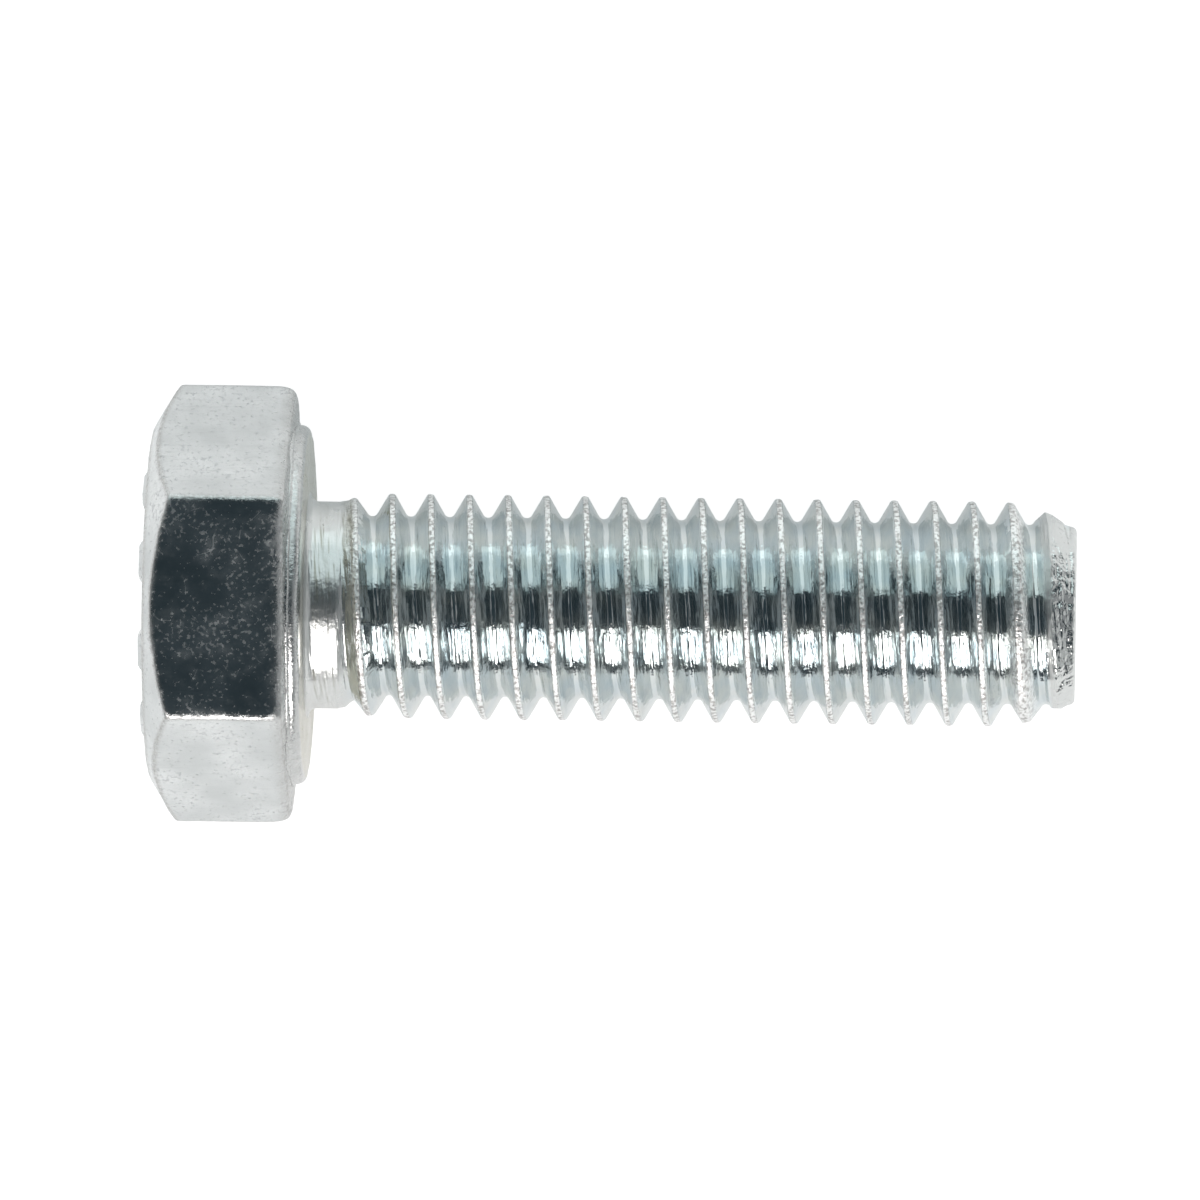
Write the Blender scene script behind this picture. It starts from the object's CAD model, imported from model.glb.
"""Hex bolt, M6 x 1 x 20: the finished surface of each part, around the CAD frame.

Metres, +Z up. +X runs from the head to the tip, and x = 0 is the bearing face.
"""

import math
from functools import partial

import bpy
import numpy as np
from mathutils import Euler, Matrix, Vector, noise


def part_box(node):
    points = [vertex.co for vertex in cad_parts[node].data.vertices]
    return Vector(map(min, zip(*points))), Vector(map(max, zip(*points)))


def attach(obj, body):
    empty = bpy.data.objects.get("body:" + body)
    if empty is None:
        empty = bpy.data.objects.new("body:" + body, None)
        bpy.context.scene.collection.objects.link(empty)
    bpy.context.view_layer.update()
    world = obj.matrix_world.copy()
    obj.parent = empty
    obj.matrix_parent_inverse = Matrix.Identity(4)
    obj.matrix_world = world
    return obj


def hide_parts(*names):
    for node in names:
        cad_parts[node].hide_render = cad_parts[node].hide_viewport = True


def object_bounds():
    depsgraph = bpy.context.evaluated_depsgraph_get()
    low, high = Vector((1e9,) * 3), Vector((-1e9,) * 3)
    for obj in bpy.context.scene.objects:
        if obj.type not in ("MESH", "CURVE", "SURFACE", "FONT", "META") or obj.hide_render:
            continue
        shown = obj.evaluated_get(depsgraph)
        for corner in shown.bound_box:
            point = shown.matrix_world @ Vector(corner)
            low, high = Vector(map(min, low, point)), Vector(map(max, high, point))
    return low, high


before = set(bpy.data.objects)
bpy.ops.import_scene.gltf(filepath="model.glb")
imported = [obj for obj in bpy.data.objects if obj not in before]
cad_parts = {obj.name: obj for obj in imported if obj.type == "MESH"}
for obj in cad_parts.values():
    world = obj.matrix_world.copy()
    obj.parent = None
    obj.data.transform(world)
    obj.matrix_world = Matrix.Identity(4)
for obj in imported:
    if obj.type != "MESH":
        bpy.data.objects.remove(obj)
CAD_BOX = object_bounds()

MM = 0.001

# Sizes that the CAD frame gives.
HEAD_LOW, HEAD_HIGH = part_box("hex_head")
_, RING_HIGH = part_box("washer_face")
NECK_LOW, NECK_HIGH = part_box("plain_neck")
SHANK_LOW, SHANK_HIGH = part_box("threaded_shank")
POINT_LOW, POINT_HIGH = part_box("tapered_point")
ACROSS_FLATS = HEAD_HIGH[2] - HEAD_LOW[2]
HEAD_UNDERSIDE = HEAD_HIGH[0]
RING_RADIUS = RING_HIGH[1]
CREST_RADIUS = SHANK_HIGH[1]
NECK_FOOT_RADIUS = NECK_HIGH[1]
TIP = POINT_HIGH[0]
POINT_START = (SHANK_HIGH[0] + POINT_LOW[0]) / 2
NECK_END = (NECK_HIGH[0] + SHANK_LOW[0]) / 2

# Sizes of the maker's drawing that the frame's boxes don't give.
PITCH = 1.0 * MM
THREAD_DEPTH = 0.62 * MM
CREST_FLAT = 0.11 * MM
FLANK_ANGLE = math.radians(30)
CREST_AT_Y = 0.12 * MM  # where a crest passes the +Y side, past a whole number of pitches
ROOT_RADIUS = CREST_RADIUS - THREAD_DEPTH
ROOT_ROUND = (PITCH - CREST_FLAT) / 2 / math.tan(FLANK_ANGLE) - THREAD_DEPTH  # touches both flanks
BLANK_RADIUS = CREST_RADIUS - 0.26 * MM
NECK_FILLET = NECK_FOOT_RADIUS - BLANK_RADIUS
GROOVE_RUN_IN = 0.65 * MM
CREST_RUN_IN = 1.35 * MM
CREST_RUN_IN_CURVE = 0.6  # under 1, so that the crests rise fastest at first
POINT_DROP = 0.70 * MM
END_ROUND = 0.15 * MM
RING_SUNK = 0.1 * MM  # how far the washer face reaches into the hexagon
RING_FILLET = 0.1 * MM
RING_RIM_ROUND = 0.22 * MM
RING_BORE_GAP = 0.005 * MM
MARK_HEIGHT = 0.14 * MM
HEAD_TOP = HEAD_LOW[0] + MARK_HEIGHT
TOP_CHAMFER_ANGLE = math.radians(30)
TOP_FACE_RADIUS = ACROSS_FLATS / 2 - 0.42 * MM
MARK_COUNT = 10
MARK_LENGTH = 0.95 * MM
MARK_WIDTH = 0.5 * MM
MARK_RING = 0.8 * TOP_FACE_RADIUS

# Over this distance two faces turn into each other.
CREST_ROUND = 0.022 * MM
TAPER_ROUND = 0.03 * MM
CORNER_ROUND = 0.06 * MM
UNDERSIDE_ROUND = 0.17 * MM
TOP_ROUND = 0.02 * MM
CHAMFER_ROUND = 0.03 * MM
MARK_WALL = 0.22 * MM

# Wear and unevenness.
RUBBED_BAND = 0.055 * MM  # below the top of a crest
MASK_FADE = 0.03 * MM
RUB_DEPTH, RUB_SIZE, RUB_SEED = 0.016 * MM, 0.15 * MM, 7
DENT_DEPTH, DENT_SIZE, DENT_SEED = 0.035 * MM, 0.3 * MM, 8
CUT_START = TIP - 1.0 * MM  # past it the crests are cut away by more than their rounding
CUT_FADE = 0.5 * MM
NECK_WEAR = 0.35  # how far the neck is as beaten as the tip, as a share
RIM_WEAR = 0.6  # how far the rims of the washer face and the hexagon are as worn as an edge, as a share
RIM_DROP, RIM_DROP_SIZE, RIM_DROP_SEED = 0.02 * MM, 0.5 * MM, 9
EDGE_WIDTH = 0.13 * MM
# Height and width of the coarse and the fine lumps, in millimetres, on the flats, chamfer and underside.
# Their seeds are 1 to 6.
FORGED_LUMPS = (
    ((0.010, 0.9), (0.005, 0.25)),
    ((0.016, 0.6), (0.007, 0.2)),
    ((0.030, 0.8), (0.012, 0.2)),
)

# How finely the pieces are divided.
SHANK_STEPS = 224
RING_STEPS = 320
HEAD_COLUMNS = 480
END_ROUND_STEPS = 5
END_FACE_SHARES = (0.8, 0.75, 0.66, 0.5)  # each ring of the end face, as a share of the one before
NEAR_AXIS = 0.001 * MM  # where an outline stops short of the axis
MERGE_DISTANCE = 0.0005 * MM
SAME_PLANE = 0.002 * MM
SHARP_ANGLE = math.radians(40)


# ---------------------------------------------------------------- hand tools


def deselect():
    if bpy.context.object and bpy.context.object.mode != "OBJECT":
        bpy.ops.object.mode_set(mode="OBJECT")
    bpy.ops.object.select_all(action="DESELECT")


def pick(obj):
    """Makes this the one selected and active object."""
    deselect()
    obj.select_set(True)
    bpy.context.view_layer.objects.active = obj


def named(name):
    obj = bpy.context.object
    obj.name = name
    obj.data.name = name
    return obj


def apply_place(obj):
    pick(obj)
    bpy.ops.object.transform_apply(location=True, rotation=True, scale=True)


def apply_modifier(obj, kind, **settings):
    pick(obj)
    modifier = obj.modifiers.new(kind.lower(), kind)
    for key, value in settings.items():
        setattr(modifier, key, value)
    bpy.ops.object.modifier_apply(modifier=modifier.name)


def outline(name, points):
    """A chain of edges through (along, out) points, extruded from one vertex in the XY plane."""
    deselect()
    start = Vector((*points[0], 0))
    bpy.ops.mesh.primitive_plane_add(size=MM, location=start)
    obj = named(name)
    bpy.ops.object.mode_set(mode="EDIT")
    bpy.ops.mesh.select_mode(type="VERT")
    bpy.ops.mesh.select_all(action="SELECT")
    bpy.ops.mesh.merge(type="CENTER")
    for here, there in zip(points, points[1:]):
        step = Vector((there[0] - here[0], there[1] - here[1], 0))
        bpy.ops.mesh.extrude_region_move(TRANSFORM_OT_translate={"value": step})
    bpy.ops.object.mode_set(mode="OBJECT")
    apply_place(obj)
    return obj


def arc(centre, radius, start, end, steps):
    """(along, out) points on an arc, by its centre and its angles in degrees from +X."""
    angles = np.radians(np.linspace(start, end, steps + 1))
    return [(centre[0] + radius * math.cos(a), centre[1] + radius * math.sin(a)) for a in angles]


def line(start, end, steps):
    """Evenly spaced (along, out) points between two, without the ends."""
    shares = np.arange(1, steps) / steps
    return [(start[0] + (end[0] - start[0]) * s, start[1] + (end[1] - start[1]) * s) for s in shares]


def turn_around(obj, steps, rise=0.0, turns=1):
    """Turns the outline around the X axis into a clean shell, moving it along by the rise each turn."""
    apply_modifier(
        obj,
        "SCREW",
        axis="X",
        angle=2 * math.pi,
        screw_offset=rise,
        iterations=turns,
        steps=steps,
        render_steps=steps,
        use_merge_vertices=False,
    )
    bpy.ops.object.mode_set(mode="EDIT")
    bpy.ops.mesh.select_all(action="SELECT")
    bpy.ops.mesh.remove_doubles(threshold=MERGE_DISTANCE)
    bpy.ops.mesh.normals_make_consistent(inside=False)
    bpy.ops.object.mode_set(mode="OBJECT")


def smooth_over(obj):
    """Shades the piece smooth, up to its sharp edges."""
    pick(obj)
    bpy.ops.object.shade_smooth_by_angle(angle=SHARP_ANGLE)


def points_of(obj):
    co = np.empty(len(obj.data.vertices) * 3)
    obj.data.vertices.foreach_get("co", co)
    return co.reshape(-1, 3)


def put_points(obj, co):
    obj.data.vertices.foreach_set("co", co.reshape(-1))
    obj.data.update()


def put_mask(obj, name, values):
    """Keeps one value from 0 to 1 for each point, which the finish reads."""
    mask = obj.data.attributes.new(name, "FLOAT", "POINT")
    mask.data.foreach_set("value", values)


def cut_square(obj, along, keep):
    """Cuts the piece square to its axis here and keeps one side, "below" or "above", with an open end."""
    pick(obj)
    bpy.ops.object.mode_set(mode="EDIT")
    bpy.ops.mesh.select_all(action="SELECT")
    bpy.ops.mesh.bisect(
        plane_co=(along, 0, 0),
        plane_no=(1, 0, 0),
        clear_outer=keep == "below",
        clear_inner=keep == "above",
        threshold=1e-8,
    )
    bpy.ops.object.mode_set(mode="OBJECT")


def select_rim(obj, along):
    """Goes into edit mode with only the open edges in this plane selected."""
    pick(obj)
    bpy.ops.object.mode_set(mode="EDIT")
    bpy.ops.mesh.select_all(action="DESELECT")
    bpy.ops.object.mode_set(mode="OBJECT")
    mesh = obj.data
    used = np.zeros(len(mesh.edges), int)
    loops = np.empty(len(mesh.loops), int)
    mesh.loops.foreach_get("edge_index", loops)
    np.add.at(used, loops, 1)
    co = points_of(obj)
    for edge in mesh.edges:
        near = all(abs(co[v][0] - along) < SAME_PLANE for v in edge.vertices)
        edge.select = bool(near and used[edge.index] == 1)
    bpy.ops.object.mode_set(mode="EDIT")
    bpy.ops.mesh.select_mode(type="EDGE")


def close_rim(obj, along):
    select_rim(obj, along)
    bpy.ops.mesh.edge_face_add()
    bpy.ops.object.mode_set(mode="OBJECT")


# ---------------------------------------------------------------- the parts


def smooth_step(values):
    t = np.clip(values, 0, 1)
    return t * t * (3 - 2 * t)


def soft_least(a, b, round_over):
    """The smaller of the two, turning softly where they are alike."""
    return -round_over * np.logaddexp(-a / round_over, -b / round_over)


def soft_most(values, round_over):
    """The largest of these values, turning softly where two are alike."""
    stack = np.stack(values) / round_over
    top = stack.max(axis=0)
    return round_over * (top + np.log(np.exp(stack - top).sum(axis=0)))


def unevenness(points, size, seed):
    """A smooth random value at each point, from about -1 to 1."""
    shift = Vector((seed * 17.3, seed * 5.1, seed * 11.7))
    return np.array([noise.noise(Vector(p) / size + shift) for p in points])


def thread_outline():
    """One pitch of the thread, from crest to crest, its corners rounded."""
    crest_end = CREST_FLAT / 2 + 0.03 * MM
    root_start = PITCH / 2 - ROOT_ROUND * math.cos(FLANK_ANGLE)
    hold = 0.015 * MM  # points close to both ends of a flank keep it straight when it is shaded smooth
    along = np.concatenate([
        np.linspace(0, crest_end, 5),
        [crest_end + hold, root_start - hold],
        np.linspace(root_start, PITCH / 2, 6),
    ])
    along = np.concatenate([along, PITCH - along[-2::-1]])
    return [(x, thread_out(x)) for x in along]


def thread_out(past_crest):
    """The thread's radius here, past a crest's middle, with its crest and root rounded."""
    from_crest = abs(past_crest - PITCH * round(past_crest / PITCH))
    from_root = PITCH / 2 - from_crest
    if from_root < ROOT_ROUND * math.cos(FLANK_ANGLE):
        return ROOT_RADIUS + ROOT_ROUND - math.sqrt(ROOT_ROUND**2 - from_root**2)
    flank = CREST_RADIUS - (from_crest - CREST_FLAT / 2) / math.tan(FLANK_ANGLE)
    return soft_least(flank, CREST_RADIUS, CREST_ROUND)


def long_thread():
    """The thread, swept from one pitch of outline, past both ends of the bar."""
    turns_before, turns_after = 3, 1
    start = CREST_AT_Y - turns_before * PITCH
    thread = outline("thread", [(start + along, out) for along, out in thread_outline()])
    turns = turns_before + math.ceil(TIP / PITCH) + turns_after
    turn_around(thread, SHANK_STEPS, rise=PITCH, turns=turns)
    return thread


def shape_ends(co):
    """Grows the thread in from the neck, tapers it at the tip and wears it.

    Gives the new points, and masks of the rubbed crests and of the beaten metal at both ends.
    """
    along, angle = co[:, 0], np.arctan2(co[:, 2], co[:, 1])
    out = np.hypot(co[:, 1], co[:, 2])
    groove_growth = smooth_step((along - NECK_END) / GROOVE_RUN_IN)
    crest_growth = np.clip((along - NECK_END) / CREST_RUN_IN, 0, 1) ** CREST_RUN_IN_CURVE
    growth = np.where(out > BLANK_RADIUS, crest_growth, groove_growth)
    out = BLANK_RADIUS + (out - BLANK_RADIUS) * growth
    limit = point_limit(along)
    out = soft_least(out, limit, TAPER_ROUND)

    top = np.minimum(limit, BLANK_RADIUS + (CREST_RADIUS - BLANK_RADIUS) * crest_growth)
    crest = smooth_step((out - top + RUBBED_BAND) / MASK_FADE) * smooth_step(crest_growth * 3)
    first_rise = (1 - groove_growth) * smooth_step((out - BLANK_RADIUS) / MASK_FADE)
    crest = np.maximum(crest, first_rise)
    cut = crest * smooth_step((along - CUT_START) / CUT_FADE)

    rub = RUB_DEPTH * (1 + unevenness(co, RUB_SIZE, RUB_SEED))
    dents = DENT_DEPTH * (0.6 + unevenness(co, DENT_SIZE, DENT_SEED))
    out -= crest * rub * (1 - cut) + dents * cut
    placed = np.column_stack([along, out * np.cos(angle), out * np.sin(angle)])
    return placed, {"crest": crest - cut, "beaten": cut + NECK_WEAR * (1 - groove_growth)}


def point_limit(along):
    """The radius that the crests are cut down to towards the tip."""
    tapered = np.clip((along - POINT_START) / (TIP - POINT_START), 0, 1)
    return CREST_RADIUS - POINT_DROP * tapered**2


def build_shank():
    """The threaded shank and the tapered point, made as one and then parted."""
    thread = long_thread()
    placed, masks = shape_ends(points_of(thread))
    put_points(thread, placed)
    for name, values in masks.items():
        put_mask(thread, name, values)
    cut_square(thread, NECK_END, "above")
    cut_square(thread, TIP - END_ROUND, "below")

    pick(thread)
    bpy.ops.object.duplicate()
    point = named("tapered_point_skin")
    cut_square(thread, POINT_START, "below")
    cut_square(point, POINT_START, "above")
    thread.name = "threaded_shank_skin"
    close_rim(thread, NECK_END)
    close_rim(thread, POINT_START)
    close_rim(point, POINT_START)
    round_tip(point)
    return thread, point


def round_tip(point):
    """Draws the open end in over its rounded edge, then across its flat face, and closes it."""
    start = TIP - END_ROUND
    select_rim(point, start)
    rounding = arc((start, point_limit(start) - END_ROUND), END_ROUND, 90, 0, END_ROUND_STEPS)
    rings = [(there[0] - here[0], there[1] / here[1]) for here, there in zip(rounding, rounding[1:])]
    rings += [(0, share) for share in END_FACE_SHARES]
    for forward, share in rings:
        bpy.ops.mesh.extrude_region_move(TRANSFORM_OT_translate={"value": (forward, 0, 0)})
        bpy.ops.transform.resize(value=(1, share, share), center_override=(0, 0, 0))
    bpy.ops.mesh.edge_face_add()
    bpy.ops.object.mode_set(mode="OBJECT")


def build_neck():
    """The plain bar under the head, which widens over a fillet to its foot."""
    points = [(NECK_LOW[0], NEAR_AXIS), (NECK_LOW[0], NECK_FOOT_RADIUS)]
    points += arc((NECK_FILLET, NECK_FOOT_RADIUS), NECK_FILLET, 180, 270, 12)
    points += line((NECK_FILLET, BLANK_RADIUS), (NECK_END, BLANK_RADIUS), 12)
    points += [(NECK_END, BLANK_RADIUS), (NECK_END, NEAR_AXIS)]
    neck = outline("plain_neck_skin", points)
    turn_around(neck, SHANK_STEPS)
    close_rim(neck, NECK_LOW[0])
    close_rim(neck, NECK_END)
    put_mask(neck, "beaten", np.full(len(neck.data.vertices), NECK_WEAR))
    return neck


def build_ring():
    """The washer face: a thin ring with a fillet at the hexagon, a round rim and a flat bearing face."""
    bore = NECK_FOOT_RADIUS + RING_BORE_GAP
    back = HEAD_UNDERSIDE - RING_SUNK
    wide = RING_RADIUS + RING_FILLET
    fillet_end = back + 2 * RING_FILLET
    flat_edge = RING_RADIUS - RING_RIM_ROUND
    points = [(back, bore), *line((back, bore), (back, RING_RADIUS), 6), (back, RING_RADIUS), (back, wide)]
    points += arc((fillet_end, wide), RING_FILLET, 180, 270, 6)
    points += line((fillet_end, RING_RADIUS), (-RING_RIM_ROUND, RING_RADIUS), 3)
    points += arc((-RING_RIM_ROUND, flat_edge), RING_RIM_ROUND, 90, 0, 14)
    points += [*line((0, flat_edge), (0, bore), 10), (0, bore), (back, bore)]
    ring = outline("washer_face_skin", points)
    turn_around(ring, RING_STEPS)

    co = points_of(ring)
    past_rim = np.hypot(co[:, 1], co[:, 2]) - RING_RADIUS
    in_front = co[:, 0] > back + RING_FILLET
    near_rim = smooth_step((past_rim + 0.4 * MM) / (0.3 * MM))
    co[:, 0] -= near_rim * RIM_DROP * (1 + unevenness(co, RIM_DROP_SIZE, RIM_DROP_SEED)) * in_front
    put_points(ring, co)
    put_mask(ring, "bearing", smooth_step((-past_rim - 0.12 * MM) / (0.15 * MM)))
    put_mask(ring, "edge", RIM_WEAR * smooth_step((past_rim + 0.2 * MM) / (0.15 * MM)))
    return ring


def raised_marks(y, z):
    """1 on the plain bars in a ring on the head's top, falling softly to 0 around them."""
    step = 2 * math.pi / MARK_COUNT
    turn = np.arctan2(z, y)
    turn = turn - step * np.round(turn / step)
    out = np.hypot(y, z)
    across = MARK_WIDTH / 2 - abs(out * np.cos(turn) - MARK_RING)
    beside = MARK_LENGTH / 2 - abs(out * np.sin(turn))
    return smooth_step(0.5 + np.minimum(across, beside) / MARK_WALL)


def head_faces(x, y, z, lumps):
    """How far each point is outside the head's faces: its flats, chamfer, top and underside."""
    flats = [
        y * math.cos(a) + z * math.sin(a) - ACROSS_FLATS / 2 + lumps[0]
        for a in np.radians(30 + 60 * np.arange(6))
    ]
    rise = (np.hypot(y, z) - TOP_FACE_RADIUS) * math.sin(TOP_CHAMFER_ANGLE)
    chamfer = rise - (x - HEAD_TOP) * math.cos(TOP_CHAMFER_ANGLE) + lumps[1]
    top = HEAD_TOP - MARK_HEIGHT * raised_marks(y, z) - x
    underside = x - HEAD_UNDERSIDE + lumps[2]
    return flats, chamfer, top, underside


def head_distance(x, y, z, lumps):
    """How far each point is outside the head, whose edges are rounded."""
    flats, chamfer, top, underside = head_faces(x, y, z, lumps)
    lower = soft_most([soft_most(flats, CORNER_ROUND), underside], UNDERSIDE_ROUND)
    crown = soft_most([chamfer, top], TOP_ROUND)
    return soft_most([lower, crown], CHAMFER_ROUND)


def forged_lumps(points):
    """The height of the lumps at each point, for the flats, the chamfer and the underside."""
    seeds = iter(range(1, 7))
    return np.stack([
        sum(height * MM * unevenness(points, width * MM, next(seeds)) for height, width in kind)
        for kind in FORGED_LUMPS
    ])


def head_rings():
    """(along, out) places around the head from its top to its underside, one that each ring aims at."""
    reach = ACROSS_FLATS / 2 + 0.3 * MM
    mark_reach = (MARK_WIDTH + MARK_WALL) / 2
    mark_inside, mark_outside = MARK_RING - mark_reach, MARK_RING + mark_reach
    corners = [
        (HEAD_TOP, 0),
        (HEAD_TOP, mark_inside),
        (HEAD_TOP, mark_outside),
        (HEAD_TOP, TOP_FACE_RADIUS),
        (HEAD_TOP + 0.2 * MM, reach),
        (HEAD_TOP + 0.8 * MM, reach),
        (HEAD_UNDERSIDE - 0.9 * MM, reach),
        (HEAD_UNDERSIDE, reach),
        (HEAD_UNDERSIDE, ACROSS_FLATS / 2 - 0.8 * MM),
        (HEAD_UNDERSIDE, 0),
    ]
    steps = [10, 24, 12, 18, 18, 28, 26, 14, 6]
    rings = corners[:1]
    for start, end, count in zip(corners, corners[1:], steps):
        rings += line(start, end, count) + [end]
    return np.array(rings)


def build_head():
    """A ball whose rings are drawn out to the faces of the head."""
    rings = head_rings()
    ring_count = len(rings) - 1
    deselect()
    bpy.ops.mesh.primitive_uv_sphere_add(
        segments=HEAD_COLUMNS, ring_count=ring_count, radius=1, rotation=(0, math.radians(-90), 0)
    )
    head = named("hex_head_skin")
    apply_place(head)
    co = points_of(head)
    turn = np.arctan2(co[:, 2], co[:, 1])
    ring = np.round(np.arccos(np.clip(-co[:, 0], -1, 1)) / math.pi * ring_count).astype(int)
    along, out = rings[ring].T
    centre = np.array([(HEAD_TOP + HEAD_UNDERSIDE) / 2, 0, 0])
    aim = np.column_stack([along - centre[0], out * np.cos(turn), out * np.sin(turn)])
    even = centre + aim * share_to_surface(aim, centre, np.zeros((3, len(co))))[:, None]
    lumps = forged_lumps(even)
    placed = centre + aim * share_to_surface(aim, centre, lumps)[:, None]
    put_points(head, placed)

    # An edge is where a point is about as near to a second face as to the first.
    flats, *others = head_faces(*placed.T, lumps)
    ordered = np.sort(np.stack([*flats, *others]), axis=0)
    edge = smooth_step(1 - (ordered[-1] - ordered[-2]) / EDGE_WIDTH)
    rolled_over = RIM_WEAR * smooth_step((placed[:, 0] - HEAD_UNDERSIDE + 0.5 * MM) / (0.35 * MM))
    put_mask(head, "edge", np.maximum(edge, rolled_over))
    return head


def share_to_surface(aim, centre, lumps):
    """How far along each aim from the centre the head's surface is, by halving."""
    near, far = np.full(len(aim), 0.2), np.full(len(aim), 1.6)
    halvings = 30
    for _ in range(halvings):
        half = (near + far) / 2
        inside = head_distance(*(centre + aim * half[:, None]).T, lumps) < 0
        near, far = np.where(inside, half, near), np.where(inside, far, half)
    return near


# ---------------------------------------------------------------- finishes


def colour(hex_value):
    """An sRGB hex colour as linear RGBA."""
    parts = [int(hex_value[i : i + 2], 16) / 255 for i in (0, 2, 4)]
    return (*[p / 12.92 if p <= 0.04045 else ((p + 0.055) / 1.055) ** 2.4 for p in parts], 1)


def add_node(tree, kind, inputs=None, output=0, **settings):
    """Adds a node with its settings, sets or links its inputs, and gives back one of its outputs."""
    node = tree.nodes.new("ShaderNode" + kind)
    for key, value in settings.items():
        setattr(node, key, value)
    fill_inputs(tree, node, inputs or {})
    return node.outputs[output]


def fill_inputs(tree, node, inputs):
    """Links a socket, or sets a value, at each of these inputs, by name or number."""
    for key, value in inputs.items():
        if isinstance(value, bpy.types.NodeSocket):
            tree.links.new(value, node.inputs[key])
        else:
            node.inputs[key].default_value = value


def new_material(name):
    """A metal, the function that adds its nodes, and its place in metres."""
    material = bpy.data.materials.new(name)
    material.use_nodes = True
    material.node_tree.nodes["Principled BSDF"].inputs["Metallic"].default_value = 1
    add = partial(add_node, material.node_tree)
    return material, add, add("TexCoord", output="Object")


def finish_metal(material, add, base, rough, height):
    """Links the colour, the roughness and the relief, whose height is in millimetres."""
    relief = add("Bump", {"Height": height, "Distance": MM, "Strength": 1})
    shader = material.node_tree.nodes["Principled BSDF"]
    fill_inputs(material.node_tree, shader, {"Base Color": base, "Roughness": rough, "Normal": relief})
    return material


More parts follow.
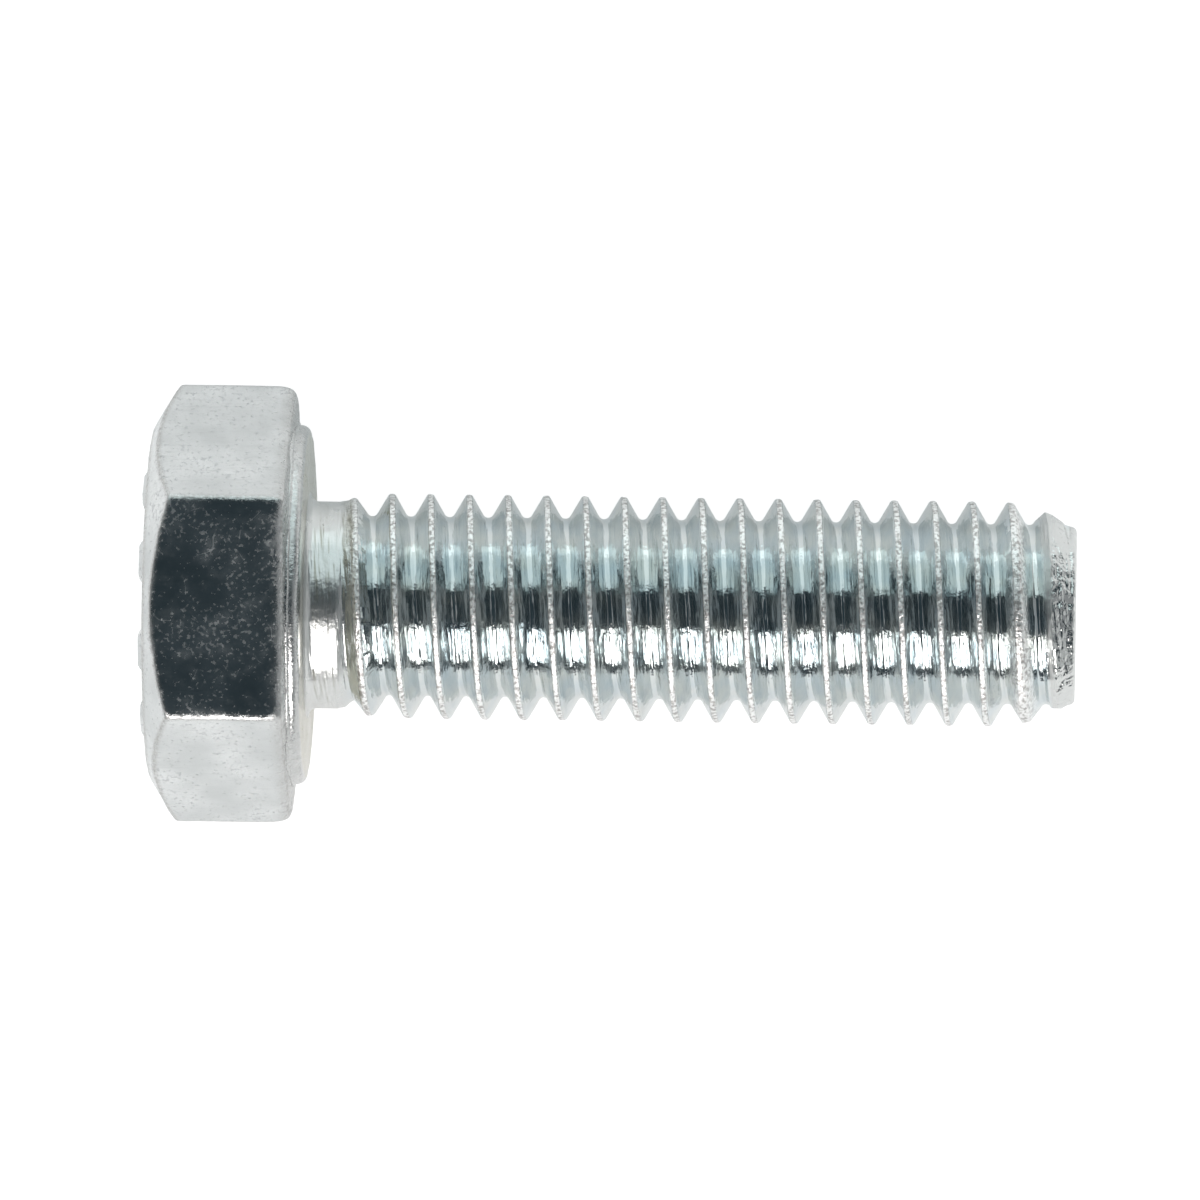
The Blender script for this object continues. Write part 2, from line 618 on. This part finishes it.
def zinc_forged():
    """Bright zinc plating on a cold-forged head: a neutral mirror, dulled by fine specks and scratches."""
    material, add, place = new_material("bright_zinc_forged")
    edge = add("Attribute", attribute_name="edge", output="Fac")
    bearing = add("Attribute", attribute_name="bearing", output="Fac")

    # Patches of tone, fine grain, and the slow swell of the forged surface.
    cloud = add("TexNoise", {"Vector": place, "Scale": 1 / (1.5 * MM), "Detail": 5})
    grain = add("TexNoise", {"Vector": place, "Scale": 1 / (0.06 * MM), "Detail": 3})
    swell = add("TexNoise", {"Vector": place, "Scale": 1 / (0.5 * MM), "Detail": 2})

    # Specks about a tenth of a millimetre wide, thicker in some places than in others.
    dots = add("TexNoise", {"Vector": place, "Scale": 1 / (0.11 * MM), "Detail": 3})
    where = add(
        "MapRange", {"Value": cloud, "From Min": 0.35, "From Max": 0.65, "To Min": 0.6, "To Max": 0.5}
    )
    past = add("Math", {0: dots, 1: where}, operation="SUBTRACT")
    specks = add("MapRange", {"Value": past, "From Max": 0.14}, interpolation_type="SMOOTHSTEP")

    # Hair scratches, where a smooth pattern passes its middle value.
    path = add("TexNoise", {"Vector": place, "Scale": 1 / (1.3 * MM), "Detail": 1})
    off_path = add("Math", {0: path, 1: 0.5}, operation="SUBTRACT")
    off_path = add("Math", {0: off_path}, operation="ABSOLUTE")
    narrow = {"Value": off_path, "From Max": 0.008, "To Min": 1, "To Max": 0}
    scratch = add("MapRange", narrow, interpolation_type="SMOOTHSTEP")
    broken = add("MapRange", {"Value": swell, "From Min": 0.5, "From Max": 0.6})
    scratch = add("Math", {0: scratch, 1: broken}, operation="MULTIPLY")

    # Draw marks along the bar that the head was forged from.
    along = add("Mapping", {"Vector": place, "Scale": (0.12, 1, 1)})
    drawn = add("TexNoise", {"Vector": along, "Scale": 1 / (0.09 * MM), "Detail": 3})

    # Neutral zinc, greyer at specks, draw marks and worn edges, and yellowish on the bearing face.
    tone = add("MapRange", {"Value": cloud, "From Min": 0.35, "From Max": 0.65})
    zinc = {"Factor": tone, "A": colour("C8CACA"), "B": colour("DDDEDE")}
    base = add("Mix", zinc, output="Result", data_type="RGBA")
    dull = add("Math", {0: specks, 1: 0.5}, operation="MULTIPLY")
    base = add(
        "Mix", {"Factor": dull, "A": base, "B": colour("A3A5A7")}, output="Result", data_type="RGBA"
    )
    base = add(
        "Mix", {"Factor": bearing, "A": base, "B": colour("C0BDAE")}, output="Result", data_type="RGBA"
    )
    streak = add(
        "MapRange", {"Value": drawn, "From Min": 0.55, "From Max": 0.75, "To Min": 0, "To Max": 0.3}
    )
    base = add(
        "Mix", {"Factor": streak, "A": base, "B": colour("B4B6B6")}, output="Result", data_type="RGBA"
    )
    worn = add(
        "MapRange", {"Value": grain, "From Min": 0.4, "From Max": 0.6, "To Min": 0.25, "To Max": 0.75}
    )
    worn = add("Math", {0: worn, 1: edge}, operation="MULTIPLY")
    base = add(
        "Mix", {"Factor": worn, "A": base, "B": colour("A7A4A1")}, output="Result", data_type="RGBA"
    )

    # Roughness, which makes the reflections softer at edges, specks, smears and scratches.
    rough = add(
        "MapRange", {"Value": cloud, "From Min": 0.3, "From Max": 0.7, "To Min": 0.13, "To Max": 0.2}
    )
    rough = add("Math", {0: edge, 1: 0.14, 2: rough}, operation="MULTIPLY_ADD")
    rough = add("Math", {0: specks, 1: 0.15, 2: rough}, operation="MULTIPLY_ADD")
    smear = add(
        "MapRange", {"Value": swell, "From Min": 0.5, "From Max": 0.7, "To Min": 0, "To Max": 0.07}
    )
    rough = add("Math", {0: smear, 1: rough}, operation="ADD")
    rough = add("Math", {0: scratch, 1: 0.08, 2: rough}, operation="MULTIPLY_ADD")

    # Relief in millimetres.
    height = add("Math", {0: swell, 1: 0.008}, operation="MULTIPLY")
    height = add("Math", {0: specks, 1: 0.001, 2: height}, operation="MULTIPLY_ADD")
    height = add("Math", {0: scratch, 1: -0.0004, 2: height}, operation="MULTIPLY_ADD")
    height = add("Math", {0: drawn, 1: 0.0015, 2: height}, operation="MULTIPLY_ADD")
    rub = add("MapRange", {"Value": edge, "To Min": 0.0015, "To Max": 0.012})
    height = add("Math", {0: grain, 1: rub, 2: height}, operation="MULTIPLY_ADD")
    lumpy = add("Math", {0: edge, 1: 0.02}, operation="MULTIPLY")
    height = add("Math", {0: dots, 1: lumpy, 2: height}, operation="MULTIPLY_ADD")
    return finish_metal(material, add, base, rough, height)


def zinc_rolled():
    """Bright zinc plating on a rolled thread: streaked flanks with a cool tint, and dull rubbed crests."""
    material, add, place = new_material("bright_zinc_rolled")
    beaten = add("Attribute", attribute_name="beaten", output="Fac")
    crest = add("Attribute", attribute_name="crest", output="Fac")

    # Patches of tone, fine grain, the dents of beaten metal, and the flecks on rubbed crests.
    cloud = add("TexNoise", {"Vector": place, "Scale": 1 / (0.8 * MM), "Detail": 4})
    grain = add("TexNoise", {"Vector": place, "Scale": 1 / (0.06 * MM), "Detail": 3})
    dents = add("TexNoise", {"Vector": place, "Scale": 1 / (0.22 * MM), "Detail": 2})
    flecks = add("TexNoise", {"Vector": place, "Scale": 1 / (0.1 * MM), "Detail": 3})

    # The streaks follow the thread, so they are drawn on the place unwound by its pitch.
    axis, side, top = (add("SeparateXYZ", {"Vector": place}, output=part) for part in "XYZ")
    turn = add("Math", {0: side, 1: top}, operation="ARCTAN2")
    unwound = add("Math", {0: turn, 1: PITCH / (2 * math.pi), 2: axis}, operation="MULTIPLY_ADD")
    rolled = add("CombineXYZ", {"X": unwound, "Y": side, "Z": top})
    long = add("Mapping", {"Vector": rolled, "Scale": (1, 0.06, 0.06)})
    lines = add("TexNoise", {"Vector": long, "Scale": 1 / (0.11 * MM), "Detail": 1})
    short = add("Mapping", {"Vector": rolled, "Scale": (1, 0.11, 0.11)})
    streaks = add("TexNoise", {"Vector": short, "Scale": 1 / (0.11 * MM), "Detail": 1.5})

    # Cool zinc with darker lines on the thread, grey and white on its crests, and neutral at both ends.
    tone = add("MapRange", {"Value": cloud, "From Min": 0.35, "From Max": 0.65})
    zinc = {"Factor": tone, "A": colour("CCD4D7"), "B": colour("D7DAD8")}
    base = add("Mix", zinc, output="Result", data_type="RGBA")
    dark = add("MapRange", {"Value": lines, "From Min": 0.5, "From Max": 0.7, "To Min": 0, "To Max": 0.3})
    base = add(
        "Mix", {"Factor": dark, "A": base, "B": colour("A2AEB2")}, output="Result", data_type="RGBA"
    )
    bright = add("MapRange", {"Value": flecks, "From Min": 0.38, "From Max": 0.55})
    flecked = {"Factor": bright, "A": colour("ACA9A7"), "B": colour("F8F8F7")}
    rubbed = add("Mix", flecked, output="Result", data_type="RGBA")
    base = add("Mix", {"Factor": crest, "A": base, "B": rubbed}, output="Result", data_type="RGBA")
    plain = add("MapRange", {"Value": beaten, "From Max": NECK_WEAR})
    base = add(
        "Mix", {"Factor": plain, "A": base, "B": colour("D3D4D3")}, output="Result", data_type="RGBA"
    )

    # Roughness, which makes the reflections softer on the crests and on the neck.
    rough = add(
        "MapRange", {"Value": cloud, "From Min": 0.3, "From Max": 0.7, "To Min": 0.11, "To Max": 0.17}
    )
    rough = add("Math", {0: crest, 1: 0.17, 2: rough}, operation="MULTIPLY_ADD")
    # Halfway beaten metal is the roughest: the neck is dull, while the tip is as bright as the flanks.
    dulled = add("Math", {0: beaten, 1: 0.5}, operation="PINGPONG")
    rough = add("Math", {0: dulled, 1: 0.43, 2: rough}, operation="MULTIPLY_ADD")

    # Relief in millimetres.
    height = add("Math", {0: lines, 1: 0.01}, operation="MULTIPLY")
    height = add("Math", {0: streaks, 1: 0.032, 2: height}, operation="MULTIPLY_ADD")
    height = add("Math", {0: cloud, 1: 0.01, 2: height}, operation="MULTIPLY_ADD")
    rub = add("MapRange", {"Value": crest, "To Min": 0.002, "To Max": 0.03})
    height = add("Math", {0: grain, 1: rub, 2: height}, operation="MULTIPLY_ADD")
    deep = add("MapRange", {"Value": beaten, "From Min": 0.3, "To Min": 0.012, "To Max": 0.065})
    height = add("Math", {0: dents, 1: deep, 2: height}, operation="MULTIPLY_ADD")
    return finish_metal(material, add, base, rough, height)


def dress(obj, node, material):
    """Gives the finished piece its material and puts it in place of its CAD node."""
    obj.data.materials.append(material)
    smooth_over(obj)
    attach(obj, "root")
    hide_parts(node)


# ---------------------------------------------------------------- studio

CAMERA_DISTANCE = 0.340
SENSOR_WIDTH = 36  # millimetres, as the lens
NEAREST_SEEN = 0.01
FRAME_WIDTH = 31.06 * MM
FRAME_CENTRE = Vector((7.54 * MM, 0.225 * MM, 0))
CAMERA_TILT = Euler((math.radians(-1.28), math.radians(1.83), 0))
CAMERA_ROLL = math.radians(0.745)
BOLT_MIDDLE = Vector((8 * MM, 0, 0))
LIGHT_DISTANCE = 0.4
TENT_LEAN = 0.21  # how much lower the tent's open top reaches on the +Y side
FLOOR_SIZE = 1.6
FLOOR_GLOW = 0.04
WASHED_OUT = 0.72  # the share of plain white in what the camera sees of the table
WHITE_STRENGTH = 1.22


def add_camera():
    """A long lens, nearly straight above the bolt."""
    data = bpy.data.cameras.new("camera")
    data.sensor_width = SENSOR_WIDTH
    data.lens = SENSOR_WIDTH * CAMERA_DISTANCE / FRAME_WIDTH
    data.clip_start = NEAREST_SEEN
    camera = bpy.data.objects.new("camera", data)
    bpy.context.scene.collection.objects.link(camera)
    look = CAMERA_TILT.to_matrix() @ Matrix.Rotation(CAMERA_ROLL, 3, "Z")
    camera.rotation_euler = look.to_euler()
    camera.location = FRAME_CENTRE + look @ Vector((0, 0, CAMERA_DISTANCE))
    bpy.context.scene.camera = camera


def softbox(name, tilt, size, strength, tint, mirrored=True):
    """A rectangular light that faces the bolt, tilted from overhead about X and Y, in degrees."""
    turn = Euler((math.radians(tilt[0]), math.radians(tilt[1]), 0)).to_matrix()
    width, height = size
    data = bpy.data.lights.new(name, "AREA")
    data.shape = "RECTANGLE"
    data.size, data.size_y = width, height
    data.energy = strength * math.pi * width * height
    data.color = colour(tint)[:3]
    light = bpy.data.objects.new(name, data)
    bpy.context.scene.collection.objects.link(light)
    light.rotation_euler = turn.to_euler()
    light.location = BOLT_MIDDLE + turn @ Vector((0, 0, LIGHT_DISTANCE))
    light.visible_camera = False
    light.visible_glossy = mirrored


def add_world():
    """A pale tent, open overhead and low down behind the key light, where it is dark."""
    world = bpy.data.worlds.new("studio")
    world.use_nodes = True
    add = partial(add_node, world.node_tree)
    direction = add("TexCoord", output="Object")
    beside, up = (add("SeparateXYZ", {"Vector": direction}, output=part) for part in "YZ")
    leaning = add("Math", {0: beside, 1: TENT_LEAN, 2: up}, operation="MULTIPLY_ADD")
    below_top = {"Value": leaning, "From Min": 0.46, "From Max": 0.38}
    tent = add("MapRange", below_top, interpolation_type="SMOOTHSTEP")
    past_opening = {"Value": beside, "From Min": -0.9, "From Max": -0.65}
    closed_side = add("MapRange", past_opening, interpolation_type="SMOOTHSTEP")
    pale = add("Math", {0: tent, 1: closed_side}, operation="MULTIPLY")
    cloth = {"Factor": pale, "A": colour("2F3B41"), "B": colour("C8CCCC")}
    glow = add("Mix", cloth, output="Result", data_type="RGBA")
    fill_inputs(world.node_tree, world.node_tree.nodes["Background"], {"Color": glow})
    bpy.context.scene.world = world


def add_floor():
    """A white table. The bolt reflects its shading, and the camera sees it washed out to white."""
    deselect()
    bpy.ops.mesh.primitive_plane_add(size=FLOOR_SIZE, location=(0, 0, CAD_BOX[0][2]))
    floor = named("floor")
    material = bpy.data.materials.new("white_acrylic_table")
    material.use_nodes = True
    shader = material.node_tree.nodes["Principled BSDF"]
    shader.inputs["Base Color"].default_value = colour("EEEEEE")
    shader.inputs["Roughness"].default_value = 0.9
    shader.inputs["Specular IOR Level"].default_value = 0
    shader.inputs["Emission Color"].default_value = colour("FFFFFF")
    shader.inputs["Emission Strength"].default_value = FLOOR_GLOW
    add = partial(add_node, material.node_tree)
    seen = add("LightPath", output="Is Camera Ray")
    share = add("Math", {0: seen, 1: WASHED_OUT}, operation="MULTIPLY")
    white = add("Emission", {"Strength": WHITE_STRENGTH})
    mixed = add("MixShader", {0: share, 1: shader.outputs[0], 2: white})
    output = material.node_tree.nodes["Material Output"]
    fill_inputs(material.node_tree, output, {"Surface": mixed})
    floor.data.materials.append(material)


def add_studio():
    """A strong key light, a broad fill, a wash that only the table shows, end lights, tent and table."""
    softbox("key", tilt=(51, 0), size=(0.22, 0.33), strength=7.0, tint="FFFCFA")
    softbox("fill", tilt=(-59, 0), size=(0.6, 0.48), strength=1.0, tint="F0FFFF")
    softbox("table_wash", tilt=(0, 0), size=(0.5, 0.5), strength=0.9, tint="FFFFFF", mirrored=False)
    softbox("end_light", tilt=(0, 50), size=(0.28, 0.3), strength=0.3, tint="FFFFFF")
    softbox("head_light", tilt=(0, -50), size=(0.28, 0.3), strength=0.3, tint="FFFFFF")
    add_world()
    add_floor()
    bpy.context.scene.view_settings.view_transform = "Standard"


def main():
    head = build_head()
    ring = build_ring()
    neck = build_neck()
    thread, point = build_shank()
    forged = zinc_forged()
    rolled = zinc_rolled()
    dress(head, "hex_head", forged)
    dress(ring, "washer_face", forged)
    dress(neck, "plain_neck", rolled)
    dress(thread, "threaded_shank", rolled)
    dress(point, "tapered_point", rolled)
    add_studio()
    add_camera()


main()
